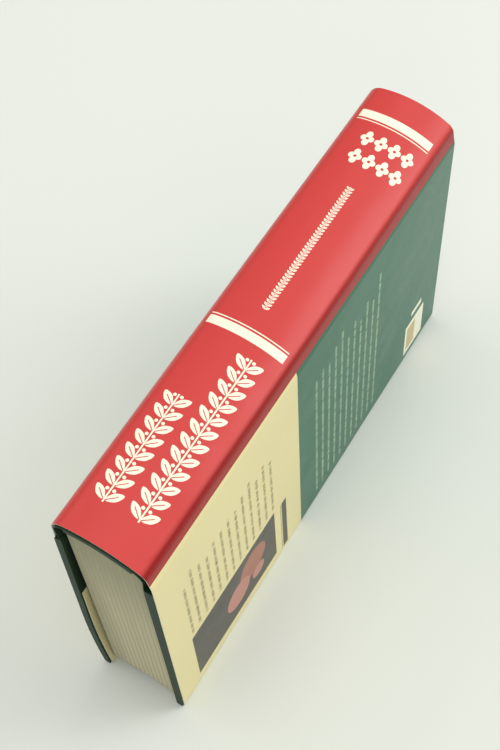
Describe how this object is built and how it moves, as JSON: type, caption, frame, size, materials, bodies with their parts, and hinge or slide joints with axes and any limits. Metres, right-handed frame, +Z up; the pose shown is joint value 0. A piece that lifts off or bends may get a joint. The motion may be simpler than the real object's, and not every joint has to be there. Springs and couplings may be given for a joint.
{
  "type": "hardcover book with dust jacket",
  "caption": "Case-bound book with a rounded spine, hinged covers and a wrapped paper jacket, standing spine up on the fore-edges of its covers.",
  "frame": {"origin": "middle of the book's footprint on the surface that it stands on", "axes": "+Z up through the spine, +Y along the spine from head to tail, +X from the front cover to the back cover"},
  "size_m": [0.0386, 0.207, 0.1277],
  "materials": {
    "pages": "matte",
    "endpaper": "matte",
    "open_cloth": "matte",
    "lining": "matte",
    "band": "matte",
    "board": "matte",
    "covering": "satin",
    "jacket": "gloss"
  },
  "bodies": {
    "text_block": {"text_block": "pages", "front_flyleaf": "endpaper", "back_flyleaf": "endpaper", "spine_super": "open_cloth", "spine_lining": "lining", "head_band": "band", "tail_band": "band", "spine_card": "board", "spine_covering": "covering", "jacket_spine": "jacket"},
    "front_cover": {"front_board": "board", "front_covering": "covering", "front_super": "open_cloth", "front_pastedown": "endpaper", "jacket_front": "jacket"},
    "back_cover": {"back_board": "board", "back_covering": "covering", "back_super": "open_cloth", "back_pastedown": "endpaper", "jacket_back": "jacket"}
  },
  "joints": [
    {"name": "front_joint", "type": "hinge", "parent": "text_block", "child": "front_cover", "pos_m": [-0.01725, 0, 0.11649], "axis": [0, 1, 0], "range_deg": [0, 175]},
    {"name": "back_joint", "type": "hinge", "parent": "text_block", "child": "back_cover", "pos_m": [0.01935, 0, 0.11341], "axis": [0, -1, 0], "range_deg": [0, 175]}
  ]
}
